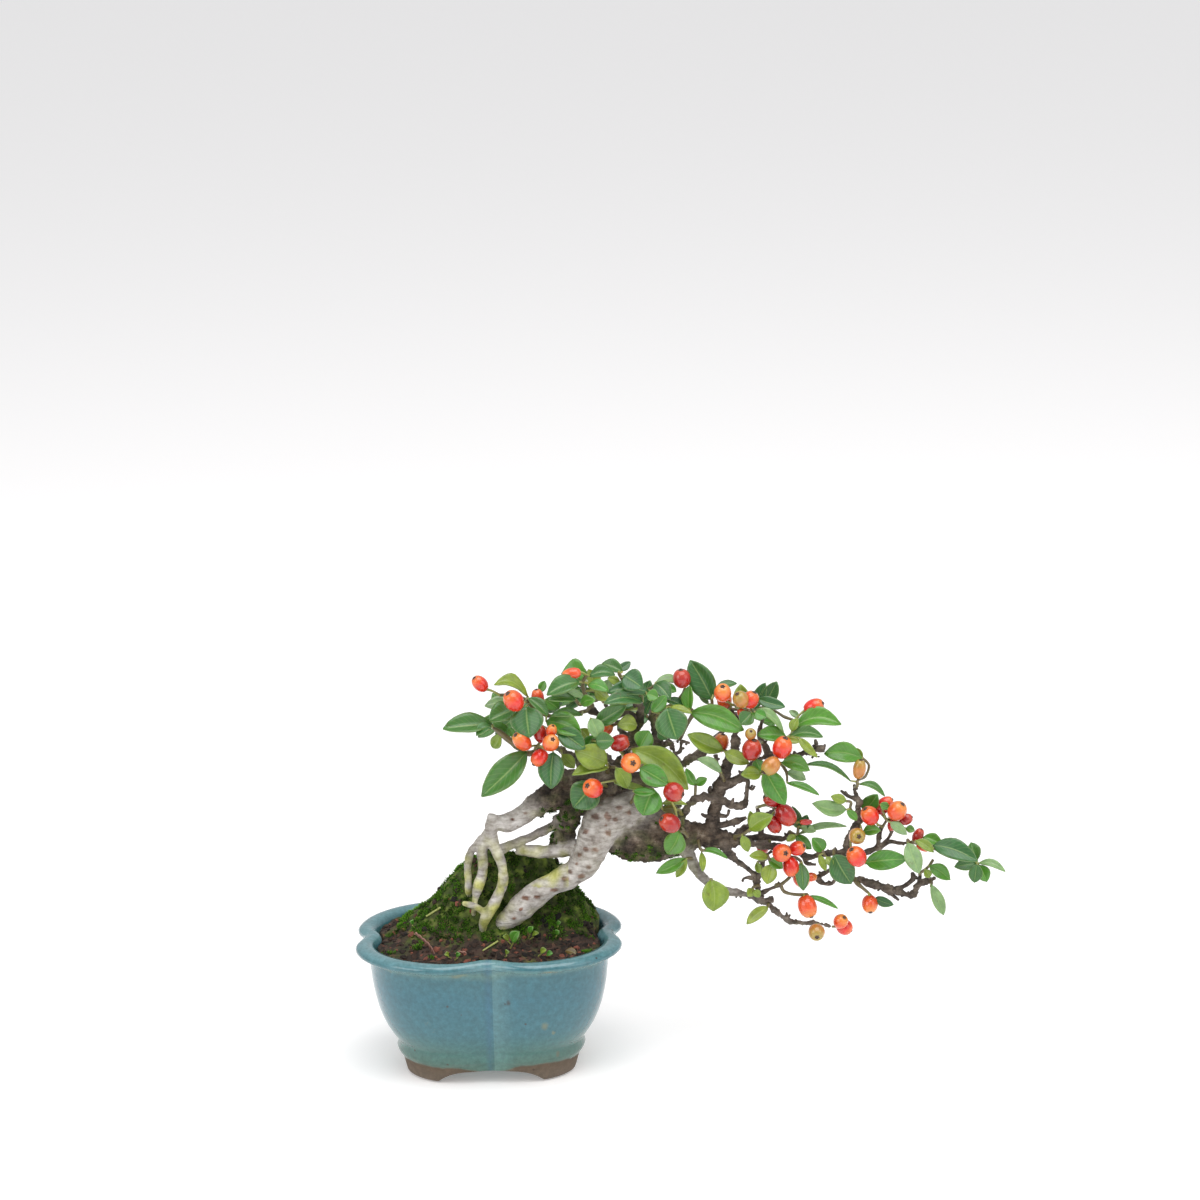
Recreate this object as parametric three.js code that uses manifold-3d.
// Wall cotoneaster bonsai in a four-lobed glazed pot, in millimetres, +Z up.
// The tree leans out of its pot to the right: old roots clasp a mossy mound of soil, the trunk rises between
// them and turns over to the right, and its limbs carry leafy sprays and bunches of berries.
import * as THREE from 'three';
import Module from 'manifold-3d';
import { mergeVertices } from 'three/addons/utils/BufferGeometryUtils.js';

const wasm = await Module();
wasm.setup();

// Driving dimensions of the pot
const RIM_HALF_WIDTH = 40.2;
const RIM_HALF_DEPTH = 31.4;
const RIM_TOP = 38.4;
const BAND_HALF_WIDTH = 28.4;
const BAND_HEIGHT = 5.6;
const FLOOR_TOP = 8.4;
const FLOOR_BOTTOM = 5.2;
const FOOT_BOTTOM = -2.3;
const ARCH_HEIGHT = 3.8;
const FRONT_ARCH_HALF_WIDTH = 15.6;
const SIDE_ARCH_HALF_WIDTH = 9.6;
const DRAIN_HOLE_X = 12;
const DRAIN_HOLE_RADIUS = 3.4;
const LOBE_POWER = 2.55;
const FRONT_NOTCH = 0.15;
const SIDE_NOTCH = 0.075;
const PLAN_SIDES = 32;

// Driving dimensions of the filling and the plant
const CLEARANCE = 0.3;
const SOIL_EDGE = 35.6;
const LEAF_THICKNESS = 0.62;
const PETIOLE_RADIUS = 0.42;
const PEDICEL_RADIUS = 0.42;
const SMALL_BERRY_RADIUS = 2;
const WIRE_RADIUS = 0.5;

// The view that the plant is laid out in: a long lens, 15.2 degrees above level, aimed above the plant. The
// middle of the pot is at POT_ACROSS
const VIEW_PITCH = THREE.MathUtils.degToRad(15.2);
const VIEW_DISTANCE = 1216;
const AIM_ACROSS = 33.45;
const AIM_UP = 135.6;
const POT_ACROSS = 0.7;

const UP = new THREE.Vector3(0, 0, 1);
const TO_VIEWER = new THREE.Vector3(0, -Math.cos(VIEW_PITCH), Math.sin(VIEW_PITCH));

// A place in the plant: across and up as they look in that view, and the true depth, less than 0 in front
function seen(across, up, depth) {
  const forward = new THREE.Vector3(0, Math.cos(VIEW_PITCH), -Math.sin(VIEW_PITCH));
  const upward = new THREE.Vector3(0, Math.sin(VIEW_PITCH), Math.cos(VIEW_PITCH));
  const eye = forward.clone().multiplyScalar(-VIEW_DISTANCE).addScaledVector(upward, AIM_UP);
  eye.x += AIM_ACROSS - POT_ACROSS;
  const ray = forward.clone().multiplyScalar(VIEW_DISTANCE).addScaledVector(upward, up - AIM_UP);
  ray.x += across - AIM_ACROSS;
  return eye.addScaledVector(ray, (depth - eye.y) / ray.y);
}

// Solids go to the boolean library and back
function solidOf(geometry) {
  const bare = geometry.index ? geometry.toNonIndexed() : geometry.clone();
  bare.deleteAttribute('normal');
  bare.deleteAttribute('uv');
  const merged = mergeVertices(bare, 1e-4);
  const mesh = new wasm.Mesh({
    numProp: 3,
    vertProperties: new Float32Array(merged.attributes.position.array),
    triVerts: new Uint32Array(merged.index.array),
  });
  mesh.merge();
  return new wasm.Manifold(mesh);
}

function geometryOf(solid) {
  const mesh = solid.getMesh();
  const geometry = new THREE.BufferGeometry();
  geometry.setAttribute('position', new THREE.BufferAttribute(new Float32Array(mesh.vertProperties), 3));
  geometry.setIndex(new THREE.BufferAttribute(new Uint32Array(mesh.triVerts), 1));
  const faceted = geometry.toNonIndexed();
  faceted.computeVertexNormals();
  return faceted;
}

const joined = (solids) => solids.reduce((whole, next) => whole.add(next));

// The largest body that is left of a solid once loose scraps are dropped
function mainBody(solid) {
  const bodies = solid.decompose();
  bodies.sort((a, b) => b.volume() - a.volume());
  return bodies[0];
}

// Plan of the pot as a share of its half width: an oval whose four notches part it into lobes
function lobeShare(angle, notch) {
  const alongX = Math.cos(angle);
  const alongY = Math.sin(angle);
  const oval = (Math.abs(alongX) ** LOBE_POWER + Math.abs(alongY) ** LOBE_POWER) ** (-1 / LOBE_POWER);
  const front = FRONT_NOTCH * Math.exp(-((alongX / 0.2) ** 2));
  const side = SIDE_NOTCH * Math.exp(-((alongY / 0.16) ** 2));
  return oval * (1 - notch * (front + side));
}

// A closed solid turned to the lobed plan, from profile points [half width, half depth, height, notch share].
// A height may be a function of x and y instead of a number.
function lobedLathe(profile) {
  const outline = profile.map(([halfWidth], index) => new THREE.Vector2(halfWidth, index));
  const lathe = new THREE.LatheGeometry(outline, PLAN_SIDES);
  const position = lathe.attributes.position;
  for (let i = 0; i < position.count; i += 1) {
    const [halfWidth, halfDepth, height, notch] = profile[i % profile.length];
    const angle = (Math.floor(i / profile.length) % PLAN_SIDES) * ((2 * Math.PI) / PLAN_SIDES);
    const share = lobeShare(angle, notch);
    const x = share * Math.cos(angle) * halfWidth;
    const y = share * Math.sin(angle) * halfDepth;
    position.setXYZ(i, x, y, typeof height === 'function' ? height(x, y) : height);
  }
  return solidOf(lathe);
}

// A gap between two feet: a shallow arch with round shoulders, cut right through along Y or along X
function footArch(halfWidth, alongX) {
  const arch = new THREE.Shape();
  arch.moveTo(-halfWidth - 0.8, -1);
  arch.lineTo(-halfWidth, 0.4);
  arch.quadraticCurveTo(-halfWidth + 1.6, ARCH_HEIGHT - 0.5, -halfWidth * 0.55, ARCH_HEIGHT - 0.2);
  arch.quadraticCurveTo(0, ARCH_HEIGHT + 0.4, halfWidth * 0.55, ARCH_HEIGHT - 0.2);
  arch.quadraticCurveTo(halfWidth - 1.6, ARCH_HEIGHT - 0.5, halfWidth, 0.4);
  arch.lineTo(halfWidth + 0.8, -1);
  const cut = new THREE.ExtrudeGeometry(arch, { depth: 80, bevelEnabled: false, curveSegments: 4 });
  cut.translate(0, 0, -40);
  cut.rotateX(Math.PI / 2);
  cut.translate(0, 0, FOOT_BOTTOM);
  if (alongX) {
    cut.rotateZ(Math.PI / 2);
  }
  return solidOf(cut);
}

function uprightCylinder(radius, bottom, top, x, y, sides) {
  const cylinder = new THREE.CylinderGeometry(radius, radius, top - bottom, sides);
  cylinder.rotateX(Math.PI / 2);
  cylinder.translate(x, y, (top + bottom) / 2);
  return solidOf(cylinder);
}

// The pot: underside, feet, band, flaring wall, rolled rim and inner wall in one closed profile
function potSolid() {
  const body = lobedLathe([
    [0, 0, FLOOR_BOTTOM, 0],
    [17.5, 14.5, FLOOR_BOTTOM, 0.3],
    [18.2, 15.2, FOOT_BOTTOM, 0.3],
    [25.4, 20, FOOT_BOTTOM, 0.3],
    [26.6, 20.9, FOOT_BOTTOM + 1.3, 0.3],
    [27.2, 21.3, 2.2, 0.4],
    [BAND_HALF_WIDTH, 22.2, BAND_HEIGHT, 0.5],
    [31.4, 24.6, 12.4, 0.55],
    [33.7, 26.4, 18.4, 0.6],
    [35.2, 27.6, 25.5, 0.7],
    [36.2, 28.3, 35, 0.85],
    [38.6, 30.2, 35.2, 1],
    [RIM_HALF_WIDTH, RIM_HALF_DEPTH, 36.8, 1],
    [39.3, 30.6, 38, 1],
    [37.3, 28.9, RIM_TOP, 1],
    [35.2, 27.0, 37.8, 1],
    [32.6, 25.0, 26, 0.6],
    [27.6, 21.2, 11.6, 0.5],
    [24.6, 18.4, FLOOR_TOP, 0.4],
    [0, 0, FLOOR_TOP, 0],
  ]);
  const holes = [-1, 1].map((side) => (
    uprightCylinder(DRAIN_HOLE_RADIUS, FLOOR_BOTTOM - 1, FLOOR_TOP + 1, side * DRAIN_HOLE_X, 0, 16)
  ));
  const cuts = [footArch(FRONT_ARCH_HALF_WIDTH, false), footArch(SIDE_ARCH_HALF_WIDTH, true), ...holes];
  return cuts.reduce((pot, cut) => pot.subtract(cut), body);
}

// The soil fills the pot, domes up behind and rises into the mound that the roots clasp
function soilHeight(x, y) {
  const bump = (cx, cy, wx, wy, rise) => rise * Math.exp(-(((x - cx) / wx) ** 2 + ((y - cy) / wy) ** 2));
  return SOIL_EDGE
    + bump(4, 6, 28, 17, 3.6)
    + bump(2, 5, 10, 9, 19)
    + bump(-14, 5, 12, 12, 9)
    + bump(-8, 4, 7, 8, 5)
    + bump(16, 8, 10, 7, 17)
    + bump(25, 8, 8, 9, 6.5);
}

function soilSolid() {
  const rings = 6;
  const profile = [
    [0, 0, FLOOR_TOP + 1.3, 0],
    [24.2, 18.0, FLOOR_TOP + 1.3, 0.4],
    [27.0, 20.6, 12, 0.5],
    [32.1, 24.5, 26, 0.6],
  ];
  for (let ring = rings; ring >= 0; ring -= 1) {
    const share = ring / rings;
    profile.push([33.5 * share, 25.5 * share, soilHeight, 0.9 * share]);
  }
  return lobedLathe(profile);
}

// A round tube through places in space, with a radius at each
function tube(places, radii, sides, steps, extraRadius = 0) {
  const curve = new THREE.CatmullRomCurve3(places);
  const stations = [];
  let across = new THREE.Vector3(0.3, -0.8, 0.52);
  for (let i = 0; i <= steps; i += 1) {
    const along = curve.getTangent(i / steps);
    across = across.clone().addScaledVector(along, -across.dot(along)).normalize();
    const reach = (i / steps) * (places.length - 1);
    const before = Math.min(Math.floor(reach), places.length - 2);
    const radius = extraRadius + THREE.MathUtils.lerp(radii[before], radii[before + 1], reach - before);
    const middle = curve.getPoint(i / steps);
    middle.addScaledVector(along, (i === steps ? extraRadius : 0) - (i === 0 ? extraRadius : 0));
    stations.push({ middle, across, beside: along.clone().cross(across), radius });
  }
  const bent = new THREE.CylinderGeometry(1, 1, 1, sides, steps);
  const position = bent.attributes.position;
  for (let i = 0; i < position.count; i += 1) {
    const { middle, across: outward, beside, radius } = stations[Math.round((position.getY(i) + 0.5) * steps)];
    const place = middle.clone()
      .addScaledVector(outward, position.getX(i) * radius)
      .addScaledVector(beside, -position.getZ(i) * radius);
    position.setXYZ(i, place.x, place.y, place.z);
  }
  return solidOf(bent);
}

// A limb through points [across, up, depth, radius] laid out in the view
function limb(points, sides, steps, extraRadius = 0) {
  const places = points.map(([across, up, depth]) => seen(across, up, depth));
  return tube(places, points.map((point) => point[3]), sides, steps, extraRadius);
}

// Exposed roots, trunk and thick limbs: points [across, up, depth, radius]
const THICK_LIMBS = {
  trunk: [
    [4.4, 35, -2, 2], [4.8, 38.7, -5, 2.6], [7.5, 40.6, -5, 3.5], [12, 45, -5, 3.9], [18, 49.2, -5, 3.6], [24, 52.1, -5, 3.8],
    [28, 54.8, -5, 4.3], [31, 59.2, -5, 4.8], [33, 64, -4, 5.4], [36, 69, -2, 6.3], [41, 71.6, 0, 6.2],
    [46, 71, 2, 5.2],
  ],
  swelling: [
    [37.5, 66, 2, 5], [43, 64.4, 2, 7.4], [49.5, 64.6, 2, 8.1], [56, 63.8, 1, 6.4], [61, 64, 1, 4.6],
    [66, 63.6, 1, 3.2], [71, 62.7, 1, 2.4], [75, 62.2, 0, 1.7],
  ],
  upperRoot: [
    [2.6, 69.2, -4, 2], [6, 68.6, -3, 2.9], [10, 70.1, -2, 2.9], [14, 73, -1, 3.2], [18, 75.4, 0, 4],
    [24, 77, 1, 4.4], [31, 76.5, 1, 4.4], [38, 74, 1, 4.2],
  ],
  crotch: [[23.5, 60.5, 2, 2.2], [24.5, 66, 1, 2.4], [25.5, 72, 0, 3.4], [30, 75.5, 0, 4]],
  crownBase: [[39, 73, 1, 4.2], [37, 78, 2, 3.2], [36, 82, 3, 2]],
  longLimb: [
    [20.5, 80, 1, 1.5], [24, 82.3, 2, 1.8], [30, 82, 2, 2], [37, 81.4, 3, 2.2], [45, 80.7, 4, 2.2],
    [52, 80.6, 5, 1.8], [57, 83.6, 5, 1.2], [61, 86.4, 4, 1.1], [65.5, 88.5, 4, 1], [67, 91.5, 4, 0.8],
  ],
  column: [[67.6, 64, 1, 2.4], [68.3, 68, 1, 2], [68.7, 72, 1, 1.8], [69, 77, 1, 1.9], [71, 80.5, 1, 1.7]],
  dropLimb: [
    [58.5, 62, 0, 2.6], [60.3, 58.5, -1, 2], [62, 55, -2, 1.7], [64, 52, -3, 1.5], [66.5, 49.6, -3, 1.4],
    [70, 47.5, -3, 1.4], [73.5, 46.8, -3, 1.3], [77.5, 45.8, -3, 1.2], [80.5, 45, -3, 1.2],
    [83.2, 43.6, -3, 1.1], [86, 41.4, -3, 1], [89, 38.9, -3, 0.9], [92, 37.4, -3, 0.85], [97, 37.3, -3, 0.6],
    [100, 36.7, -3, 0.5], [103, 35.8, -3, 0.5],
  ],
  rightLimb: [
    [71, 62.8, 1, 1.8], [76, 62, 0, 1.3], [82, 60.8, 0, 1.2], [88, 60, 0, 1.1], [92, 58.6, 0, 1],
    [95.5, 57.2, 0, 0.9], [99, 57.2, 0, 0.9], [104, 58, 0, 0.9], [107.5, 58.5, 0, 1], [108.6, 62, 0, 1],
    [110.8, 65.5, 0, 1], [111.6, 69, 0, 0.9], [111.9, 73, 0, 1], [111.2, 75.5, 0, 0.7],
    [110.8, 78.3, 0, 0.45],
  ],
};

// Roots that grip the mound: points [across, up, depth, radius]
const ROOTS = {
  frontRoot: [
    [-1.8, 35, -5, 1.2], [-1.2, 38.6, -8, 1.5], [0.2, 41.5, -8, 1.7], [2.4, 45, -7, 1.8], [4.4, 49.4, -6, 1.6],
    [4.9, 53.4, -6, 1.5], [4.3, 57, -6, 1.4], [2.8, 60.6, -6, 1.6], [1.7, 64.2, -5, 1.8], [1.6, 68, -5, 1.9],
    [2.3, 71.3, -4, 1.7],
  ],
  middleRoot: [
    [-4.2, 40, -3, 0.9], [-3.9, 44.2, -6, 0.9], [-3.4, 47, -6, 1.2], [-2.5, 50, -6, 1.7], [-1.4, 53.4, -5, 1.7],
    [-1.2, 57, -5, 1.6], [-1.3, 60, -5, 1.6], [-0.5, 62.8, -5, 1.3], [1.2, 66, -5, 1.4],
  ],
  leftRoot: [
    [-5.4, 46, 0, 1], [-5.6, 50, -3, 1.1], [-5.7, 54, -4, 1.2], [-5.3, 58, -4, 1.2], [-4, 61.3, -4, 1.1], [-2, 63.4, -4, 1],
    [0.8, 66.4, -4, 1.3],
  ],
  bridgeRoot: [
    [3.8, 60.6, -2, 1.5], [8, 62.3, 0, 1.4], [13, 64.3, 1, 1.3], [17, 66, 1, 1.3], [20.5, 68, 1, 1.5],
    [24, 71, 1, 1.8],
  ],
  lowRoot: [
    [9, 60.2, 1, 1.2], [13, 60, 0, 1.8], [18, 59.8, 0, 2], [23, 60, -1, 2.1], [27.5, 61, -2, 2.4],
  ],
  propRoot: [[20, 61, 3, 1.3], [20.6, 64, 3, 1.2], [22.5, 68, 2, 1.2]],
  stubRoot: [[-7.5, 44.8, -9, 0.7], [-4.8, 44.2, -9, 0.9], [-2.4, 43, -8, 1], [0, 41.4, -7.5, 1]],
};

// Woody branches: points [across, up, depth, radius]
const BRANCHES = [
  [[29, 82, 2, 1.4], [28, 86.5, 1, 1.2], [25, 89, 0, 1], [22.5, 91, -1, 0.9]],
  [[36.5, 82, 3, 1.6], [40, 86, 3, 1.3], [42.5, 90, 3, 1.3], [44, 94, 3, 1.5], [46.4, 98, 3, 1.5],
    [47.2, 102.5, 3, 1.1], [45, 103.8, 3, 0.6]],
  [[49, 81, 4, 1.4], [50.5, 86, 3, 1.2], [52, 90.3, 3, 1.6], [51.5, 94, 3, 1.3], [50.6, 98, 3, 1],
    [50.2, 101.5, 2, 0.7]],
  [[44, 93, 3, 1.2], [48, 91.3, 3, 1.4], [52, 90.8, 3, 1.2], [56, 92, 2, 0.6], [58.2, 92.5, 2, 0.45]],
  [[52.5, 88, 3, 0.8], [56, 88.3, 1, 0.55], [58.6, 89.2, 0, 0.6], [59.2, 92, 0, 0.55], [61.6, 91.6, 0, 0.4]],
  [[46.4, 98, 3, 0.9], [43.5, 101.2, 2, 0.7], [40, 99.8, 2, 0.65], [37.8, 98.3, 2, 0.6], [34.5, 100.6, 2, 0.8],
    [31.6, 102.4, 1, 1.2]],
  [[71, 80, 1, 1.7], [72.8, 84.5, 1, 1.6], [74.3, 88, 1, 1.3], [75.5, 91.3, 1, 1.5], [75.1, 95, 1, 0.8],
    [76, 98.5, 1, 0.7], [73.8, 101, 1, 0.6]],
  [[72.4, 83, 1, 0.8], [70, 84.6, 0, 0.65], [69.3, 88, 0, 0.5]],
  [[69, 76, 1, 1.6], [73, 78.8, 0, 1.4], [76.5, 80.8, 0, 1.2], [78.2, 83, 0, 1], [80.6, 85, 0, 1],
    [85.2, 87.4, 0, 1], [92, 86.9, 0, 0.8], [96, 88.2, 0, 0.75], [99, 87.2, 0, 0.5], [100.8, 86.8, 0, 0.4]],
  [[85.2, 87, 0, 1], [84.2, 90.3, 0, 1], [82.4, 93, 0, 0.7], [83, 96.5, 1, 0.5], [84, 99.5, 1, 0.45]],
  [[96, 88, 0, 0.7], [98.8, 88.8, 0, 0.7], [99.5, 90.4, 0, 0.6], [99.2, 92, 0, 0.5]],
  [[98.6, 88.8, 0, 0.6], [100.2, 89.2, 0, 0.9], [102, 89.2, 0, 1]],
  [[76.5, 80.8, 0, 0.8], [78.7, 80, 0, 0.75], [78.5, 77.4, 0, 0.6], [78.2, 74.8, 0, 0.6], [77.4, 72.8, 0, 1]],
  [[78.4, 78.6, 0, 0.5], [80, 77.4, 0, 0.55], [80.9, 78.4, 0, 0.45]],
  [[58, 67.5, -2, 1.5], [59.8, 71.5, -3, 1.1], [62, 73.9, -3, 1.1], [65, 75.4, -3, 1.1], [69, 75, -2, 1.2],
    [72, 73.4, -1, 1.2], [75.6, 72.6, -1, 1.3], [78.6, 73.8, -1, 0.9]],
  [[68.5, 66.5, 1, 1.2], [72.5, 67.2, 0, 1], [76, 68.2, 0, 0.9], [78.2, 69, 0, 0.5]],
  [[68.4, 69.6, 1, 0.9], [66, 69.6, 0, 0.7], [64.6, 70.4, 0, 0.3]],
  [[68.6, 70, 1, 0.7], [72.2, 69.6, 1, 0.55], [73, 71.4, 1, 0.4]],
  [[69, 76.5, 1, 0.9], [67.4, 77, 0, 0.8], [67.6, 78.6, 0, 0.4]],
  [[75.5, 62.3, 1, 1.2], [82, 63, 3, 1.2], [87, 62.6, 3, 1.1], [89.4, 62.5, 2, 0.8], [91.2, 64.4, 2, 0.6]],
  [[82.4, 62.8, 3, 1.1], [82.4, 66, 3, 1.1], [81.8, 70, 3, 0.7], [81.4, 72, 3, 0.55]],
  [[94.8, 57.4, 0, 0.7], [96, 55, 0, 0.5], [98.8, 54.5, 0, 0.4]],
  [[107.2, 58.4, 0, 0.8], [106.5, 54, 2, 0.8], [109.5, 50.5, 2, 0.9], [113, 49.3, 1, 1.1],
    [118, 47.8, 1, 1.2], [122, 46.3, 1, 1.3], [126, 45.1, 1, 1], [128, 45.4, 1, 1], [129.6, 48, 1, 1],
    [132, 49, 1, 0.9], [134.7, 50.1, 1, 0.75]],
  [[122, 46.4, 1, 0.9], [125.5, 47.8, 1, 0.7], [127.8, 49.8, 1, 0.75], [127.6, 51.6, 1, 0.6]],
  [[118, 47.5, 1, 0.8], [121.6, 44.9, 1, 0.6], [123.4, 43.4, 1, 0.4]],
  [[106.5, 54, 2, 0.7], [103, 52.8, 2, 0.7], [99.4, 50.6, 2, 0.9], [101, 48.8, 2, 0.7], [103.3, 48.7, 2, 0.6],
    [104.4, 49.9, 2, 0.4]],
  [[107.6, 58.6, 0, 0.9], [113, 57.8, 1, 0.9], [118, 59.6, 1, 0.9], [121, 61, 1, 0.65], [124, 60.5, 0, 0.5],
    [127, 60.6, -1, 0.6]],
  [[117.6, 59.5, 1, 0.8], [117.8, 62.5, 1, 0.75], [118.9, 65.4, 0, 0.55]],
  [[119, 60.2, 1, 0.7], [120.8, 62.3, 1, 0.65], [121.8, 64.2, 0, 0.5]],
  [[71, 62, 0, 1.5], [72.5, 58.6, -1, 1.2], [75, 56, -1, 1], [78.5, 53.3, -2, 0.9], [80.8, 51, -2, 0.8],
    [81.2, 48, -2, 1], [82, 45, -3, 1]],
  [[81, 49.5, -2, 0.7], [82.4, 53.5, -3, 0.75], [83.3, 56.8, -3, 0.65], [85.6, 58.8, -2, 0.5]],
  [[81.8, 46, -3, 0.9], [85, 47.5, -3, 0.65], [88, 48.5, -3, 0.55]],
  [[83, 44, -3, 0.8], [85.6, 44.3, -4, 0.9]],
  [[80.8, 50.2, -2, 0.7], [78.6, 51, -3, 0.8], [76.8, 50.6, -4, 0.4]],
  [[129.4, 47.4, 1, 0.7], [130, 51, 1, 0.5]],
  [[111.8, 74, 0, 0.7], [109, 74.8, 0, 0.6], [106.6, 76.6, 0, 0.35]],
];

// Branches behind the crown, which carry its far side
const REAR_BRANCHES = [
  [[45, 72, 6, 4], [42, 80, 14, 2.2], [36, 88, 20, 1.3], [28, 93, 23, 0.9], [20, 96, 24, 0.6]],
  [[42, 81, 14, 1.6], [44, 90, 20, 1.2], [40, 98, 24, 0.8], [36, 104, 25, 0.5]],
  [[54, 68, 5, 3], [57, 76, 12, 1.8], [58, 86, 18, 1.1], [54, 94, 21, 0.7], [51, 98, 22, 0.5]],
  [[58, 84, 17, 1], [68, 92, 20, 0.8], [75, 98, 18, 0.5]],
  [[72, 62, 3, 1.6], [82, 68, 12, 1.1], [90, 72, 17, 0.5]],
];

// Shoots on the ends of those branches. Their leaves stand in two ranks by rule
const REAR_SHOOTS = {
  rear_left: [[20, 96, 24, 0.5], [15, 98.6, 25, 0.5], [9, 101, 25, 0.5], [4, 101.6, 24, 0.4]],
  rear_top: [[36, 104, 25, 0.5], [34, 107, 26, 0.5], [29, 109, 26, 0.4]],
  rear_middle: [[51, 98, 22, 0.5], [48.4, 100.4, 23, 0.5], [46, 104, 23, 0.4]],
  rear_right: [[75, 98, 18, 0.5], [79, 101, 18, 0.5], [84, 102, 17, 0.4]],
};

function woodSolid(extraRadius) {
  const parts = [
    ...Object.values(THICK_LIMBS).map((points) => limb(points, 6, points.length - 1, extraRadius)),
    ...Object.values(ROOTS).map((points) => limb(points, 5, points.length - 1, extraRadius)),
    ...BRANCHES.map((points) => limb(points, 3, points.length - 1, extraRadius)),
    ...REAR_BRANCHES.map((points) => limb(points, 4, points.length - 1, extraRadius)),
  ];
  return joined(parts);
}

// Half widths of a leaf blade along its length, as shares: ovate, drawn out to a point
const BLADE_OUTLINE = [[0, 0], [0.26, 0.86], [0.66, 0.86], [1, 0], [0.66, -0.86], [0.26, -0.86]];
const SMALL_BLADE_OUTLINE = [[0, 0], [0.45, 1], [1, 0], [0.45, -1]];
const SMALL_BLADE_LENGTH = 8.5;

// A leaf blade in one closed body, alike on both faces, with its middle bowed up
function blade(base, tip, facing, width, bow, thickness) {
  const along = tip.clone().sub(base);
  const length = along.length();
  along.normalize();
  const normal = facing.clone().addScaledVector(along, -facing.dot(along)).normalize();
  const side = normal.clone().cross(along);
  const place = ([share, across], face) => base.clone()
    .addScaledVector(along, share * length)
    .addScaledVector(side, across * width * 0.5)
    .addScaledVector(normal, face * thickness * 0.5)
    .addScaledVector(UP, bow * Math.sin(Math.PI * share));
  const small = length < SMALL_BLADE_LENGTH;
  const outline = small ? SMALL_BLADE_OUTLINE : BLADE_OUTLINE;
  const faces = small ? [[0, 1, 3], [1, 2, 3]] : [[0, 1, 5], [1, 2, 4], [1, 4, 5], [2, 3, 4]];
  const top = outline.map((corner) => place(corner, 1));
  const bottom = outline.map((corner) => place(corner, -1));
  const triangles = [];
  faces.forEach(([a, b, c]) => {
    triangles.push(top[a], top[c], top[b], bottom[a], bottom[b], bottom[c]);
  });
  outline.forEach((corner, i) => {
    const next = (i + 1) % outline.length;
    triangles.push(top[i], top[next], bottom[next], top[i], bottom[next], bottom[i]);
  });
  return solidOf(new THREE.BufferGeometry().setFromPoints(triangles));
}

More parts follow.
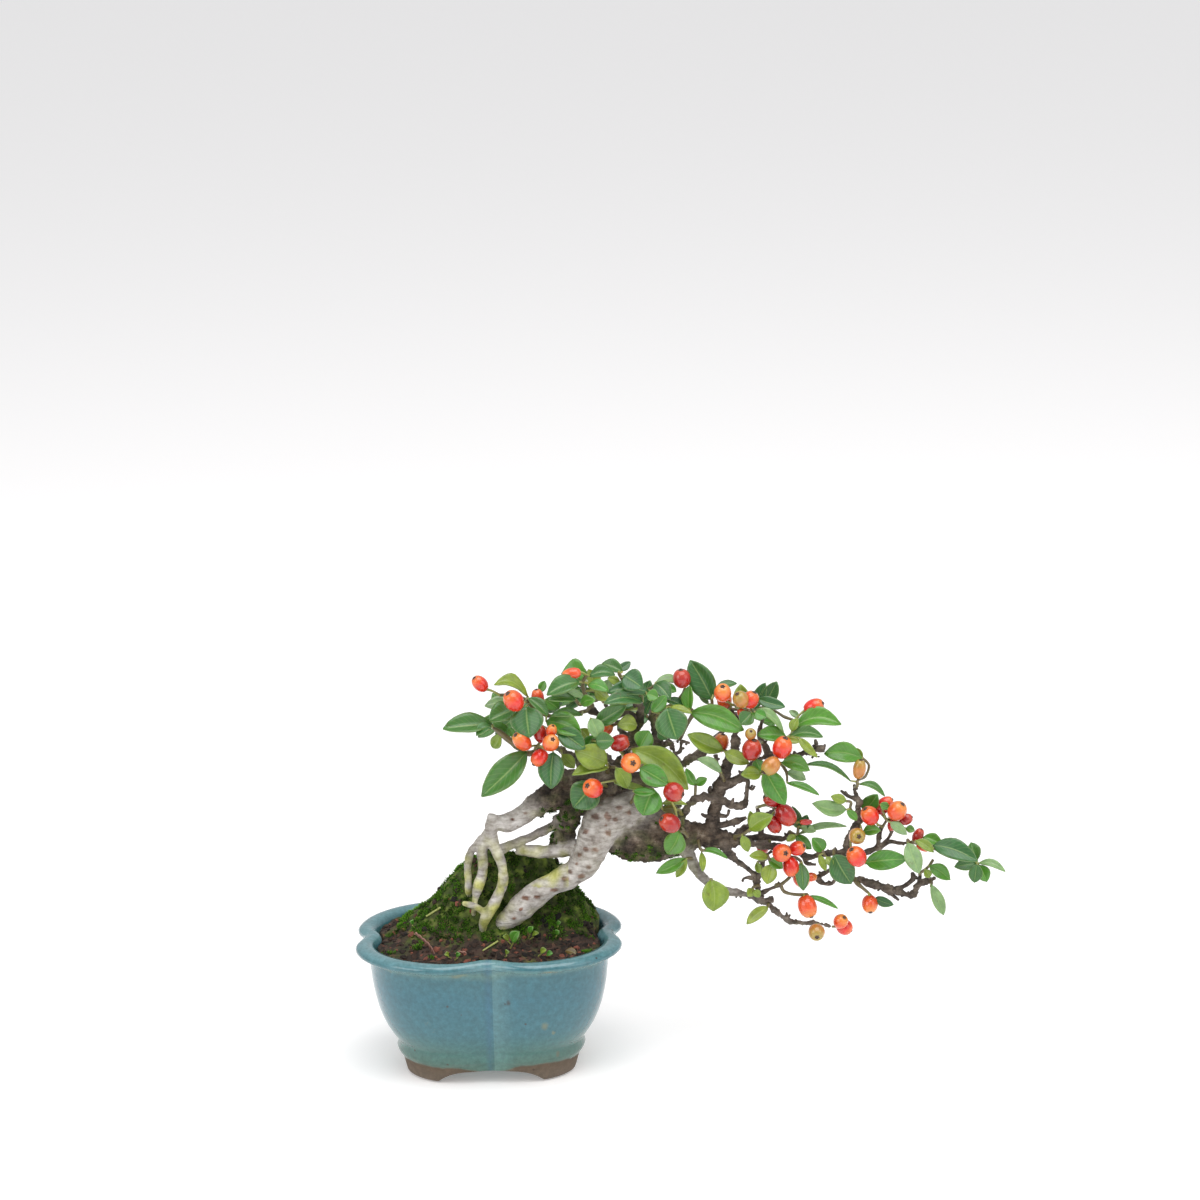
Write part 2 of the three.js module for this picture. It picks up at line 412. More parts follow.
// Leafy sprays. A stem is points [across, up, depth, radius]. A leaf is [base across, base up, tip across,
// tip up, width, base depth, tip depth, turn about its length in degrees, bow of its middle, tone]:
// tones are 0 blue-green, 1 vivid green, 2 yellow-green, 3 pale underside.
const SPRAYS = {
  left_shoot: {
    stems: [[[23.4, 90.4, -1, 0.8], [18, 91.2, -2, 0.8], [13.4, 89.3, -3, 0.85], [10, 91.4, -3, 0.95],
      [7, 93.8, -3, 0.95], [4.4, 96, -3, 0.8], [2.6, 97.2, -3, 0.5]]],
    leaves: [
      [2.4, 98.4, -12.3, 97.6, 6.6, -3, -7, 35, 0.6, 0], [7.6, 95.4, 2.7, 98.9, 3, 0, 2, 40, 0, 1],
      [12.7, 89.9, -1.2, 76.9, 7.8, -4, -11, 12, 1, 0], [20.6, 89.6, 19.8, 78.6, 7.4, -6, -10, 0, 0, 0],
    ],
  },
  left_crown: {
    stems: [[[30.5, 101.7, 1, 0.6], [24, 100.6, 2, 0.6], [19, 100.6, 1, 0.55], [14.6, 103, 0, 0.5],
      [12.4, 105.6, 0, 0.5], [8, 107, 0, 0.45], [4.8, 107, -1, 0.5]]],
    leaves: [
      [9, 102.8, 0.2, 103.8, 5, 2, 1, 35, 0.5, 3], [9.4, 102.6, 1.6, 99.6, 6.6, -1, -5, 30, 0.5, 0],
      [12.6, 103.4, 13.6, 94.1, 9.4, -6, -10, 0, 0, 0],
      [13.4, 106.4, 3.2, 110.2, 4.4, -1, -4, 40, 2.6, 2],
      [18.6, 98.9, 29, 95, 6.8, -3, -8, 15, 0.6, 1], [22.2, 96.2, 30.2, 90.4, 6, -7, -9, 10, 0.4, 0],
      [29.4, 100.6, 20.2, 101, 3.4, -2, -5, 45, 0.8, 0],
    ],
    berries: [
      [-1, 110.5, 2.1, 2.9, 135, 10, -2, 0], [9, 105.2, 2.9, 3.5, 128, 15, -9, 0],
      [16.2, 106.2, 1.9, 2.6, 100, 0, 0, 0],
    ],
  },
  top_left: {
    stems: [[[32.4, 103.4, 1, 0.7], [30.7, 106, 0, 0.75], [29.8, 110, -1, 0.6], [31, 112.6, -1, 0.5]],
      [[31.2, 105, 0, 0.5], [29, 103.6, -2, 0.45], [27.6, 105.2, -3, 0.4]],
      [[31, 105.4, 0.2, 0.5], [33.6, 104.8, 2, 0.45], [35.4, 106, 5, 0.45]]],
    leaves: [
      [28.8, 110.6, 19, 107, 5.6, -4, -9, 25, 1, 0], [27.6, 105.2, 19.8, 105.6, 3.6, -4, -8, 35, 1, 0],
      [31.2, 110.8, 23.3, 113.2, 6, 2, 4, 25, 2.4, 1],
      [31.8, 112.2, 39.6, 112.6, 4.2, 0, 1, 35, 1, 0], [31.6, 109.8, 37.6, 107.6, 3.6, -3, -6, 25, 0.8, 1],
      [35, 106.4, 38.2, 111.2, 3.6, 6, 8, 20, 0, 3],
    ],
    berries: [[26.5, 113, 1.8, 3, 190, 0, -3, 2]],
  },
  top_middle: {
    stems: [[[46.8, 103.6, 3, 0.7], [44.8, 107, 3, 0.6], [42.4, 110, 3, 0.6], [40.6, 113, 3, 0.5]],
      [[45.6, 105.4, 3, 0.5], [48.6, 107.4, 2, 0.5], [51.6, 109.2, 2, 0.45]]],
    leaves: [
      [41.8, 113.4, 35.6, 116.1, 4, 4, 6, 25, 0.5, 0], [42.2, 112.2, 47.8, 108.4, 6.6, -1, -4, 5, 0.6, 0],
      [50, 107, 36.9, 107.1, 5.2, 0, -3, 35, 0.8, 0], [47.8, 104.2, 36.2, 104, 4.6, -2, -8, 30, 1.3, 0],
      [51.5, 109.6, 56, 104.8, 5, 1, -3, 15, 0.8, 0], [51.6, 110, 59.8, 109.6, 3.4, 4, 6, 50, 0.8, 3],
    ],
  },
  inner_left: {
    stems: [[[38.4, 97.4, 2, 0.5], [35, 96.6, -1, 0.5], [33.2, 97.4, -3, 0.5]],
      [[36.4, 96.8, 0, 0.5], [34, 93.6, -3, 0.5], [32.4, 92.8, -5, 0.5]],
      [[38.2, 97.2, 1, 0.5], [40.4, 98, -1, 0.5]]],
    leaves: [
      [33.2, 97.6, 42.5, 103.2, 4.8, -4, -5, 10, -0.6, 0], [32, 99.6, 34.4, 93.6, 4.6, -6, -8, 10, 0, 3],
      [45.9, 97.2, 40, 97.4, 4.8, -2, -4, 10, 0.4, 2],
    ],
    berries: [[36.6, 96, 1.7, 2.6, 45, 0, 0, 2]],
  },
  low_left: {
    stems: [[[36.6, 83.4, 1, 0.7], [37.2, 85.2, -3, 0.6], [36.4, 86, -5, 0.5]],
      [[37, 84.8, -2, 0.5], [39.6, 84.4, -5, 0.5], [40, 81, -6, 0.45]]],
    leaves: [
      [36.8, 86.2, 27.2, 89.8, 7.4, -6, -9, 0, 0.5, 2], [37, 84.6, 26.2, 83, 4.4, -6, -10, 40, 0.8, 2],
      [39.3, 84.6, 42.8, 78.3, 4.8, -7, -9, 5, 0, 2], [38.8, 80.2, 48.6, 78.1, 2.4, -7, -7, 40, -0.8, 2],
      [33.2, 79.8, 26.4, 72.8, 9, -8, -10, 0, 0, 0],
    ],
  },
  middle: {
    stems: [[[43.6, 89, 2, 0.6], [43.8, 90.2, -2, 0.55], [46.6, 90, -4, 0.5], [48.4, 87, -6, 0.5],
      [46.4, 84.4, -9, 0.45]]],
    leaves: [
      [44.2, 90, 60.7, 77.5, 8.2, -5, -9, -8, 1.6, 2], [46.5, 84.4, 55.1, 79.2, 6.4, -11, -13, 0, 0.6, 1],
      [46.6, 90.4, 49.4, 95.5, 5.6, -4, -3, 0, 0, 1],
    ],
  },
  under_middle: {
    stems: [[[44, 74.5, -5, 0.5], [45.6, 77, -9, 0.5], [50, 78, -10, 0.5], [52.8, 73.6, -11, 0.45]]],
    leaves: [
      [50.4, 78.2, 47.2, 70.1, 8.2, -11, -13, 0, 0, 1], [44.4, 77.4, 51, 76.9, 2.8, -13, -14, 35, 0.3, 1],
      [52.8, 73.6, 60.4, 73.2, 2, -10, -9, 45, 0.9, 2],
    ],
  },
  top_right_tall: {
    stems: [[[62.6, 100, 3, 0.6], [64.8, 101.4, 2, 0.55], [68.2, 102.4, 2, 0.5], [68.4, 104.6, 2, 0.5]],
      [[63.4, 100.6, 3, 0.5], [61.4, 102.4, 1, 0.45]]],
    leaves: [
      [68.6, 104.4, 62, 116.4, 7.4, 3, 6, -12, 0, 0], [69.4, 107.4, 76, 109.4, 2.8, 4, 6, 40, 0.6, 0],
      [61.6, 101.2, 61.7, 108.8, 3.6, 0, 1, 25, 0, 1], [62, 100.8, 77.7, 95, 7, -2, -6, -10, 0.8, 1],
      [61.4, 101.6, 54.2, 104.8, 3, 1, 1, 35, 0.4, 0],
    ],
  },
  round_front: {
    stems: [[[51, 99.4, 2, 0.6], [53, 100.6, -2, 0.5], [55, 102.4, -4, 0.5]]],
    leaves: [
      [54.8, 102.2, 57.8, 92.7, 9.2, -6, -9, 0, 0, 0], [50.4, 101.2, 54.7, 106, 3.8, -4, -4, 0, 0, 1],
      [56, 102.6, 62.4, 100.5, 2.4, -5, -7, 40, 0.6, 2],
    ],
  },
  right_crown: {
    stems: [[[73, 101.8, 1, 0.6], [76, 101.4, 2, 0.5], [79.6, 101.2, 1, 0.5], [82.4, 103.6, 1, 0.45]]],
    leaves: [[82.3, 104.4, 90.4, 102, 3.6, 1, -1, 15, 0.2, 0], [80, 100.9, 90.1, 94.8, 3, -2, -5, 40, 1.6, 3]],
  },
  far_crown: {
    stems: [[[84.4, 100, 1, 0.5], [87, 100.8, 1, 0.45], [90, 99, 0, 0.45], [93, 97.6, 0, 0.5],
      [93, 94.8, -2, 0.45], [91.4, 93.2, -3, 0.5]]],
    leaves: [
      [92.8, 95.8, 107, 96.8, 5.6, -2, -5, 25, 1.6, 1], [91.4, 92.8, 101.4, 93, 3.6, -4, -7, 25, 0.9, 0],
      [94.4, 92.6, 99.8, 86.6, 2.4, -7, -9, 10, 0.4, 2], [90.6, 93, 81.9, 93.8, 4.6, -3, -5, 20, 0.6, 1],
    ],
    berries: [[99, 101.9, 2.3, 3.3, 20, 10, 0, 0]],
  },
  twin_stub: {
    stems: [[[67, 91, 4, 0.5], [70, 90.4, 3, 0.5], [72.6, 88.8, 1, 0.5], [75, 88.9, -2, 0.45]]],
    leaves: [[71.6, 89.2, 61.4, 94.2, 5.2, 0, -3, 12, 0.4, 2], [72, 88.7, 79.3, 85.2, 4, -3, -5, 10, 0.3, 2]],
    berries: [[70.9, 91.5, 2.4, 3, 75, 0, 3.4, 2]],
  },
  centre_right: {
    stems: [[[80.8, 84.6, -1, 0.7], [82.4, 84.2, -2, 0.6], [86.6, 85, -2, 0.5], [89, 85, -3, 0.5]],
      [[88.8, 85, -3, 0.5], [90.4, 82.4, -4, 0.45], [90.6, 79.4, -6, 0.4]],
      [[82, 84.4, -2, 0.5], [82.8, 82.4, -4, 0.45]]],
    leaves: [
      [89, 85.3, 97.4, 82.8, 4.8, -4, -7, 10, 0.5, 1], [90.4, 82.4, 96.2, 80, 3.4, -4, -2, 20, 0.3, 3],
      [90.6, 79.2, 100.2, 75.5, 2.4, -7, -9, 40, 0.6, 1], [84, 83, 89.9, 72.6, 6.4, -6, -10, 5, 0.4, 1],
      [82.8, 81.9, 77, 81.9, 4, -6, -9, 20, 0.3, 2],
    ],
  },
  hook_leaf: {
    stems: [[[71.6, 80.4, -1, 0.6], [70.4, 83, -2, 0.5], [67.6, 86.2, -3, 0.5]]],
    leaves: [[70.9, 82.6, 63.6, 86.8, 3.2, -4, -6, 20, 0.6, 3]],
  },
  hub_leaves: {
    stems: [[[63.6, 62, -3, 0.5], [64.4, 59.6, -5, 0.45], [66, 59.4, -5, 0.4]]],
    leaves: [[64.6, 59.4, 72.4, 56.9, 2, -5, -7, 40, 1, 1], [64.6, 58.8, 64.9, 53, 2, -5, -7, 20, 0, 2]],
  },
  collar_leaf: {
    stems: [[[60.4, 63.6, -5, 0.5], [59.4, 64.8, -7, 0.45], [58, 65.2, -8, 0.45]]],
    leaves: [[58, 65.2, 54.3, 58.4, 6.2, -8, -10, 0, 0, 1]],
  },
  drop_leaves: {
    stems: [[[61.6, 57, -3, 0.5], [60, 57, -5, 0.45]]],
    leaves: [[59.8, 57, 50.8, 52.8, 3.8, -6, -9, 10, 0.4, 1], [60, 56.8, 56.7, 51.4, 2.4, -7, -8, 10, 0, 2]],
  },
  lime_leaf: {
    stems: [[[67.4, 49.6, -5, 0.5], [67.3, 50.6, -7, 0.5]]],
    leaves: [[67.3, 50.6, 67.4, 41.2, 8.6, -7, -10, 0, 0, 2]],
  },
  knot_leaves: {
    stems: [[[74.6, 63.4, -2, 0.5], [76.8, 63.8, -4, 0.5], [80, 66, -5, 0.45]]],
    leaves: [[79, 65.4, 85.7, 69.3, 5.2, -6, -10, 10, 0, 2]],
  },
  cradle: {
    stems: [[[84.2, 57.8, -4, 0.5], [84.6, 56.8, -6, 0.5], [85.4, 54.6, -6, 0.45]],
      [[84.6, 56.8, -6, 0.45], [81.4, 55.6, -5, 0.4]]],
    leaves: [[85.4, 54.8, 84, 48.9, 4.6, -7, -9, 0, 0, 2]],
  },
  low_curl: {
    stems: [[[84.3, 42.9, -4, 0.5], [84.2, 42, -5, 0.45]]],
    leaves: [[84.2, 42.2, 77.7, 37, 3.2, -5, -8, 15, -0.3, 2]],
  },
  blade_pair: {
    stems: [[[91.2, 64.4, 1, 0.5], [93.2, 63.6, -1, 0.45], [93.6, 66, -1, 0.45], [92.8, 68, -2, 0.4]]],
    leaves: [
      [93.6, 65.4, 92, 72, 3, -1, -3, 0, 0, 0], [93.6, 63.8, 108.2, 65.9, 2.2, -1, -3, 40, 1.6, 3],
      [93, 63.4, 97.5, 59.2, 3.2, -1, -1, 0, 0.2, 1],
    ],
    berries: [[96, 67.3, 0.9, 2, 180, 0, -5, 1]],
  },
  column_leaves: {
    stems: [[[110.6, 69.6, -1, 0.5], [109.4, 71.2, -2, 0.45], [109.6, 73, -2, 0.45], [108, 73.4, -2, 0.4]]],
    leaves: [[108.2, 70.8, 98.2, 73, 4.8, -2, -5, 20, -0.4, 3]],
  },
  column_tip: {
    stems: [[[111.6, 77.8, -1.4, 0.45], [111.8, 79.6, -0.4, 0.45], [114, 80.6, 2, 0.4], [115.2, 84, 3, 0.4],
      [113.2, 86.2, 3, 0.45]]],
    leaves: [
      [113.2, 86.2, 102, 87.8, 5.8, 2, 0, 10, 1.6, 1],
      [109.8, 79.4, 96.4, 84.9, 2.2, -1, -4, 45, 2.2, 0], [112.2, 78.5, 120, 75, 2.4, -1, -3, 40, 0.8, 0],
    ],
    berries: [[112.3, 82.9, 2, 3.2, 80, 0, 0, 3]],
  },
  column_right: {
    stems: [[[112.6, 67, 1, 0.5], [113.4, 70.4, 2, 0.5]]],
    leaves: [[113.2, 70.4, 117.6, 75.2, 4.8, 3, 1, 5, 0, 1]],
  },
  big_oval: {
    stems: [[[104.2, 58.8, -2, 0.5], [104.2, 57.2, -4, 0.5]]],
    leaves: [[104.2, 57.4, 109.3, 48.5, 7.2, -4, -5, 0, 0, 0]],
  },
  right_middle: {
    stems: [[[111, 57, -0.6, 0.6], [112.4, 55, -1.5, 0.5], [114, 54.8, -2, 0.5]]],
    leaves: [[113.6, 54.8, 126.4, 55.7, 6, -2, -6, 10, 0.9, 1]],
  },
  mule_ears: {
    stems: [[[128, 60.6, -2, 0.5], [131, 59.8, -2, 0.5], [136, 58, -3, 0.5], [141, 55.6, -3, 0.45],
      [147.2, 54.2, -3, 0.45]]],
    leaves: [
      [137, 59.4, 131, 62.2, 3.6, -1, 0, 20, 0.9, 1], [134, 59.6, 147.4, 54.6, 6.2, -4, -9, 15, 1.6, 0],
      [128.8, 61.2, 134.2, 57.6, 3, -4, -7, 10, 0.2, 2],
      [146.8, 54, 140.4, 53.2, 3.6, -5, -7, 20, 0, 0], [147.6, 53.6, 150, 48.4, 4.2, -3, -5, 0, 0, 1],
      [147.6, 54.2, 155.6, 51.6, 2.4, -3, -6, 30, 1, 3],
    ],
    berries: [[129.5, 62.6, 1.6, 2.6, 60, 0, 1, 1]],
  },
  drooping_pale: {
    stems: [[[126.4, 61.4, -2, 0.5], [126.6, 60.4, -4, 0.5]]],
    leaves: [[126.4, 60.6, 129.7, 51.2, 5.2, -5, -9, 5, 0, 3]],
  },
  end_leaves: {
    stems: [[[130, 51.4, 0, 0.5], [132.4, 53.2, -1, 0.45], [134, 55.4, -1, 0.4]]],
    leaves: [[132.8, 53.6, 139, 49.2, 4.2, -2, -5, 5, 0.2, 1]],
  },
  long_hanging: {
    stems: [[[133.4, 48.4, -1, 0.5], [133.2, 47.4, -3, 0.45]]],
    leaves: [[133.2, 48, 136.9, 38.6, 3.6, -3, -6, 5, -0.4, 3]],
  },
  low_twig: {
    stems: [[[86.8, 48.6, -3, 0.6], [88, 48.5, -3, 0.55], [89.2, 46.5, -3, 0.55], [92.6, 45.6, -4, 0.5],
      [96.2, 45.6, -4, 0.45]], [[88, 48.5, -3, 0.5], [90.5, 50.5, -3, 0.45], [91, 51.4, -2, 0.4]]],
    leaves: [[96.4, 45.2, 105.2, 41.3, 1.6, -4, -6, 20, 0.5, 1]],
    berries: [[96, 42, 2.8, 3.7, -70, 15, -5, 2]],
  },
  drop_fruit: {
    stems: [[[110.4, 49.4, 1, 0.7], [112, 47.8, 0, 0.6], [114.2, 45.9, 0, 0.5]]],
    leaves: [[116.2, 44.2, 121.9, 42, 3, 1, 0, 10, 0, 0]],
    berries: [[114.7, 42.4, 2.4, 2.9, -88, 30, -1, 2]],
  },
};

// Bunches of berries on short stalks. A berry is [across, up, radius, half length, direction of its tip in
// degrees from across towards up, lean of its tip towards the viewer in degrees, depth, tone]: tones are
// 0 orange-red, 1 deep red, 2 orange, 3 unripe.
const BUNCHES = {
  bunch_left: {
    stems: [[[15.6, 90.3, -2.4, 0.5], [15.8, 91.6, -5, 0.5]]],
    berries: [
      [11.3, 93, 2.4, 3.5, 135, 20, -9, 2], [16.8, 95.2, 2.1, 3, 105, 10, -6, 1],
      [16.4, 88, 2.3, 3, 228, 15, -8, 0], [19.9, 92.4, 2.5, 2.9, 60, 55, -12, 2],
    ],
  },
  bunch_top: {
    stems: [[[51.6, 99.6, 2.6, 0.7], [54, 101.8, 3, 0.7], [57, 103.4, 3, 0.6], [59.4, 105.8, 3, 0.5],
      [60.4, 108, 3, 0.45]]],
    berries: [[59.5, 111, 2.7, 3, 95, 0, 2, 1]],
  },
  bunch_middle: {
    stems: [[[41.2, 89, 0, 0.5], [41.4, 88.6, -4, 0.45]]],
    berries: [[40.6, 92, 2.5, 3.2, 15, 0, -5, 1], [43.8, 86, 3, 3, 0, 75, -15, 2]],
  },
  bunch_low: {
    stems: [[[35.6, 79.6, -3.6, 0.5], [35, 79, -8, 0.45]]],
    berries: [[32.3, 78.5, 2.9, 3.3, 150, 45, -13, 0]],
  },
  bunch_centre: {
    stems: [[[58.4, 70.4, -5, 0.5], [58.4, 71.6, -8, 0.45], [57, 71.6, -12, 0.45]]],
    berries: [[56.5, 77, 2.9, 3.2, -15, 20, -14, 1], [55.2, 67.7, 2.9, 3.4, 150, 15, -14, 1]],
  },
  bunch_top_right: {
    stems: [[[73.8, 101.9, 0, 0.5], [74.6, 102.8, -1.4, 0.5], [76.6, 102.4, -2, 0.45]]],
    berries: [
      [71.7, 106.5, 2.6, 3, 90, 35, -4, 2], [72.2, 104.2, 2.2, 2.6, 80, 0, 0, 2],
      [77.2, 104.4, 2.4, 2.8, 125, 25, -4, 3], [80, 104.3, 2.5, 2.8, 60, 0, -2.6, 0],
    ],
  },
  bunch_red_pair: {
    stems: [[[83, 91.4, -1.2, 0.5], [82, 91.8, -3.4, 0.45]]],
    berries: [[80.2, 89.3, 2.9, 3.5, 75, 10, -7, 1], [79.9, 94, 1.7, 2, 85, 55, -7, 3]],
  },
  bunch_bright: {
    stems: [[[87.4, 87.6, -1.4, 0.5], [87.6, 87.2, -5, 0.5]]],
    berries: [[89.3, 89.8, 2.9, 3.6, 70, 10, -8, 0], [85.8, 84.3, 2.6, 3.2, 222, 20, -11, 3]],
  },
  bunch_deep: {
    stems: [[[82.2, 72.2, 0.6, 0.45], [84.6, 72.6, -1, 0.45], [87.6, 71, -3, 0.45]]],
    berries: [
      [86, 74.2, 2.2, 3, 160, 10, -3, 1], [90, 69.5, 2.9, 3.8, -50, 10, -5, 1],
      [86.4, 66.8, 2.2, 3, -62, 10, -4.6, 1],
    ],
  },
  bunch_cradle: {
    stems: [[[90.2, 58.4, -1.6, 0.5], [91, 57, -4.5, 0.5], [93, 56.6, -3.4, 0.45], [94.4, 55.4, -3.6, 0.45]]],
    leaves: [[94.3, 55, 94.9, 46.8, 3.8, -4.6, -8, 0, 0, 0]],
    berries: [
      [88.6, 58.2, 2.8, 3, 0, 65, -9, 0], [93.3, 59.5, 2.2, 2.6, 20, 20, -5, 0],
      [91.2, 54, 2.5, 3.2, -80, 10, -5, 0], [94.3, 50.4, 2.5, 3, -60, 0, -1, 2],
    ],
  },
  bunch_tip: {
    stems: [[[99.4, 36, -4.4, 0.45], [99.2, 35.4, -5.6, 0.45]]],
    berries: [[98.6, 34.2, 2.5, 2.8, -90, 60, -8, 3]],
  },
  bunch_end: {
    stems: [[[103.2, 35.8, -3, 0.4], [104.8, 35.8, -3, 0.45]]],
    berries: [[105.9, 37.3, 2.2, 2.4, 50, 30, -4, 2], [107, 35.6, 2.4, 2.6, -30, 0, -2, 0]],
  },
  bunch_right_pair: {
    stems: [[[109.2, 57.4, -1.6, 0.5], [109.4, 58.6, -4.4, 0.45]]],
    berries: [[111, 56.7, 2.9, 3.4, 125, 15, -8, 0], [111.3, 62.8, 2.5, 2.6, 0, 80, -5.4, 3]],
  },
  bunch_column: {
    stems: [[[118.4, 65.8, -0.8, 0.45], [117.6, 66, -2, 0.45]]],
    berries: [[115.2, 68.9, 2.7, 3.1, 125, 10, -3, 0]],
  },
  bunch_right_top: {
    stems: [[[118.9, 65.4, 0, 0.5], [120.2, 67.4, -0.6, 0.45]]],
    leaves: [[121.4, 66.8, 126.2, 63, 2.8, -5, -6, 5, 0.4, 3]],
    berries: [
      [119.8, 72.6, 1.8, 2.8, 25, 0, 2, 0],
      [123.4, 70.2, 2.8, 3.2, 50, 15, -4, 2], [126, 67.6, 1.7, 2.2, 20, 0, -1, 1],
    ],
  },
};

// The point of a set of limbs or stems that lies nearest to a point, all as laid out in the view
function nearestOn(lines, point) {
  const here = new THREE.Vector3(...point);
  let nearest = null;
  lines.forEach((points) => {
    for (let i = 0; i < points.length - 1; i += 1) {
      const [from, to] = [points[i], points[i + 1]].map((end) => new THREE.Vector3(...end.slice(0, 3)));
      const found = new THREE.Line3(from, to).closestPointToPoint(here, true, new THREE.Vector3());
      if (!nearest || found.distanceTo(here) < nearest.distanceTo(here)) {
        nearest = found;
      }
    }
  });
  return nearest.toArray();
}

// A leaf grows straight from the stem where that is near, and on a petiole where it isn't
function leafSolids(stems, leaf, extra) {
  const [baseAcross, baseUp, tipAcross, tipUp, width, baseDepth, tipDepth, turn, bow] = leaf;
  const tip = seen(tipAcross, tipUp, tipDepth);
  const read = seen(baseAcross, baseUp, baseDepth);
  const foot = seen(...nearestOn(stems, [baseAcross, baseUp, baseDepth]));
  const sessile = foot.distanceTo(read) < 0.45 * read.distanceTo(tip);
  const base = sessile ? foot.clone() : read;
  const along = tip.clone().sub(base).normalize();
  const flat = TO_VIEWER.clone().addScaledVector(along, -TO_VIEWER.dot(along)).normalize();
  const towardsUp = UP.dot(flat.clone().applyAxisAngle(along, 0.1)) > UP.dot(flat) ? 1 : -1;
  const facing = flat.applyAxisAngle(along, towardsUp * THREE.MathUtils.degToRad(turn));
  const seat = base.clone().lerp(tip, 0.16);
  seat.z += bow * Math.sin(Math.PI * 0.16);
  base.addScaledVector(along, -extra);
  tip.addScaledVector(along, extra);
  const leafBlade = blade(base, tip, facing, width + 2 * extra, bow, LEAF_THICKNESS + 2 * extra);
  return sessile ? [leafBlade] : [leafBlade, tube([foot, seat], [PETIOLE_RADIUS, PETIOLE_RADIUS], 3, 1, extra)];
}

function berrySolids(stems, berry, extra) {
  const [across, up, radius, halfLength, direction, lean, depth] = berry;
  const centre = seen(across, up, depth);
  const inPicture = THREE.MathUtils.degToRad(direction);
  const towards = THREE.MathUtils.degToRad(lean);
  const axis = seen(across + Math.cos(inPicture), up + Math.sin(inPicture), depth).sub(centre).normalize()
    .multiplyScalar(Math.cos(towards)).addScaledVector(TO_VIEWER, Math.sin(towards)).normalize();
  const fruit = radius < SMALL_BERRY_RADIUS ? new THREE.SphereGeometry(1, 4, 3) : new THREE.SphereGeometry(1, 6, 3);
  fruit.scale(radius + extra, halfLength + extra, radius + extra);
  fruit.applyQuaternion(new THREE.Quaternion().setFromUnitVectors(new THREE.Vector3(0, 1, 0), axis));
  fruit.translate(centre.x, centre.y, centre.z);
  const neck = centre.clone().addScaledVector(axis, -0.6 * halfLength);
  const back = [across - 1.2 * halfLength * Math.cos(inPicture), up - 1.2 * halfLength * Math.sin(inPicture)];
  const foot = seen(...nearestOn(stems, [...back, depth]));
  if (foot.distanceTo(neck) < 0.6) {
    return [solidOf(fruit)];
  }
  return [solidOf(fruit), tube([foot, neck], [PEDICEL_RADIUS, PEDICEL_RADIUS], 3, 1, extra)];
}

function spraySolid({ stems, leaves = [], berries = [] }, extra = 0) {
  return joined([
    ...stems.map((points) => limb(points, 3, points.length - 1, extra)),
    ...leaves.flatMap((leaf) => leafSolids(stems, leaf, extra)),
    ...berries.flatMap((berry) => berrySolids(stems, berry, extra)),
  ]);
}

// Draws between 0 and 1 from a seed
function seededRandom(seed) {
  let state = seed;
  return () => {
    state = (state * 16807) % 2147483647;
    return state / 2147483647;
  };
}

// The rule for the shoots behind: leaves set left and right in turn, with drawn lengths and tilts
function rearSpray(points, random) {
  const curve = new THREE.CatmullRomCurve3(points.map(([across, up, depth]) => new THREE.Vector3(across, up, depth)));
  const leaves = [];
  for (let share = 0.3; share <= 1; share += 0.23) {
    const base = curve.getPoint(Math.min(share, 1));
    const along = curve.getTangent(Math.min(share, 1));
    const side = leaves.length % 2 === 0 ? 1 : -1;
    const length = 8 + 3 * random();
    const across = (0.55 * along.x - 0.75 * side * along.y) * length;
    const up = (0.55 * along.y + 0.75 * side * along.x) * length - 1;
    leaves.push([
      base.x, base.y, base.x + across, base.y + up, 4 + random(), base.z, base.z + 3 * random() - 1,
      20 * random(), 0.6, 0,
    ]);
  }
  return { stems: [points], leaves };
}

// A bent wire through the drain hole on one side, up through the soil and out over its surface
const WIRES = {
  anchor_wire_left: [[-17, 3, 4.4], [-11.4, 1.8, 4.8], [-10.4, 1.6, 8], [-11, 0, 16], [-14, -8, 28],
    [-15.8, -13.6, 35], [-16.6, -14, 38.2], [-18.4, -14, 40.8], [-21.6, -14, 43.4]],
  anchor_wire_right: [[17, -3, 4.4], [11.4, -1.8, 4.8], [10.4, -1.6, 8], [8, -4, 16], [0, -10, 28],
    [-5.4, -13.6, 34.6], [-7, -14, 37.2], [-9.6, -14, 37], [-11.4, -14, 34.8]],
};

function wireSolid(points, extra) {
  const places = points.map((point) => new THREE.Vector3(...point));
  return tube(places, places.map(() => WIRE_RADIUS), 5, places.length - 1, extra);
}

// A square of plastic mesh over a drain hole, drawn with four large openings
function drainMesh(side) {
  const block = (width, x, y, height) => {
    const box = new THREE.BoxGeometry(width, width, height);
    box.translate(side * DRAIN_HOLE_X + x, y, FLOOR_TOP + CLEARANCE + 0.35);
    return solidOf(box);
  };
  const openings = [[-1, -1], [-1, 1], [1, -1], [1, 1]].map(([x, y]) => block(3.2, 2 * x, 2 * y, 2));
  return openings.reduce((plate, opening) => plate.subtract(opening), block(10.5, 0, 0, 0.7));
}

const wood = woodSolid(0).simplify(0.08);
const keepClear = woodSolid(CLEARANCE);
const wires = Object.values(WIRES).map((points) => wireSolid(points, CLEARANCE));
const solids = {
  pot: [potSolid(), 'glaze'],
  soil: [mainBody([keepClear, ...wires].reduce((soil, cut) => soil.subtract(cut), soilSolid())), 'soil'],
  wood: [wood, 'bark'],
  drain_mesh_left: [drainMesh(-1), 'mesh'],
  drain_mesh_right: [drainMesh(1), 'mesh'],
};
Object.entries(WIRES).forEach(([name, points]) => {
  solids[name] = [wireSolid(points, 0), 'wire'];
});
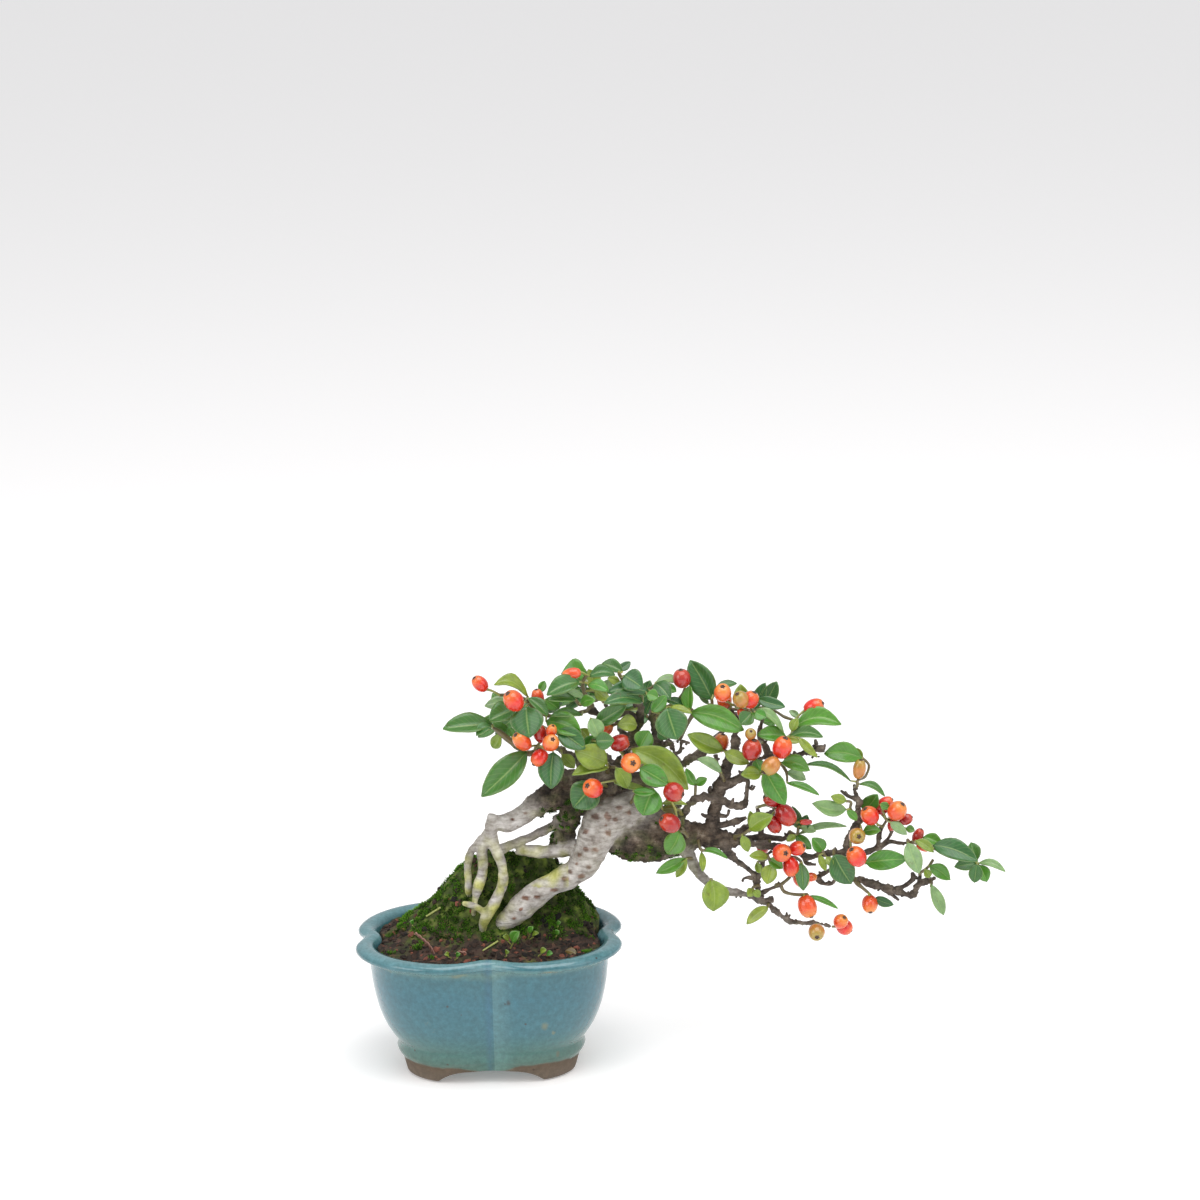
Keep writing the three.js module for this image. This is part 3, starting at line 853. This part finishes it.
// A spray is trimmed to stand clear of the wood, and of a spray that it crosses or hangs on. One that reaches
// neither gets a longer first stem
const woodLines = [...Object.values(THICK_LIMBS), ...Object.values(ROOTS), ...BRANCHES, ...REAR_BRANCHES];
const placed = [];
const addSpray = (name, laidOut, slot) => {
  let spray = laidOut;
  let whole = spraySolid(spray);
  const meets = (solid) => !whole.intersect(solid).isEmpty();
  if (!meets(keepClear) && !placed.some(([solid]) => meets(solid))) {
    const [first, ...others] = spray.stems;
    const start = [...nearestOn(woodLines, first[0].slice(0, 3)), first[0][3]];
    spray = { ...spray, stems: [[start, ...first], ...others] };
    whole = spraySolid(spray);
  }
  const crossed = placed.filter(([solid]) => meets(solid));
  whole = whole.simplify(0.1).subtract(keepClear);
  crossed.forEach(([, other]) => {
    whole = whole.subtract(spraySolid(other, CLEARANCE));
  });
  const solid = mainBody(whole);
  placed.push([solid, spray]);
  solids[name] = [solid, slot];
};
Object.entries(SPRAYS).forEach(([name, spray]) => addSpray(name, spray, 'leaf'));
Object.entries(BUNCHES).forEach(([name, bunch]) => addSpray(name, bunch, 'berry'));
const draw = seededRandom(11);
Object.entries(REAR_SHOOTS).forEach(([name, points]) => addSpray(name, rearSpray(points, draw), 'leaf'));

const LOOKS = {
  glaze: { color: 0x5f8f90, roughness: 0.25, metalness: 0 },
  soil: { color: 0x5a4a34, roughness: 0.95, metalness: 0 },
  bark: { color: 0x8d8577, roughness: 0.85, metalness: 0 },
  mesh: { color: 0x22272b, roughness: 0.6, metalness: 0 },
  wire: { color: 0x9a6a58, roughness: 0.4, metalness: 1 },
  leaf: { color: 0x4f7d4a, roughness: 0.5, metalness: 0 },
  berry: { color: 0xd8512a, roughness: 0.3, metalness: 0 },
};

const group = new THREE.Group();
Object.entries(solids).forEach(([name, [solid, slot]]) => {
  const mesh = new THREE.Mesh(geometryOf(solid), new THREE.MeshStandardMaterial(LOOKS[slot]));
  mesh.name = name;
  group.add(mesh);
});

// The origin goes to the bottom centre of the whole object's box
const box = new THREE.Box3().setFromObject(group);
const centre = box.getCenter(new THREE.Vector3());
group.children.forEach((mesh) => mesh.geometry.translate(-centre.x, -centre.y, -box.min.z));

export default group;
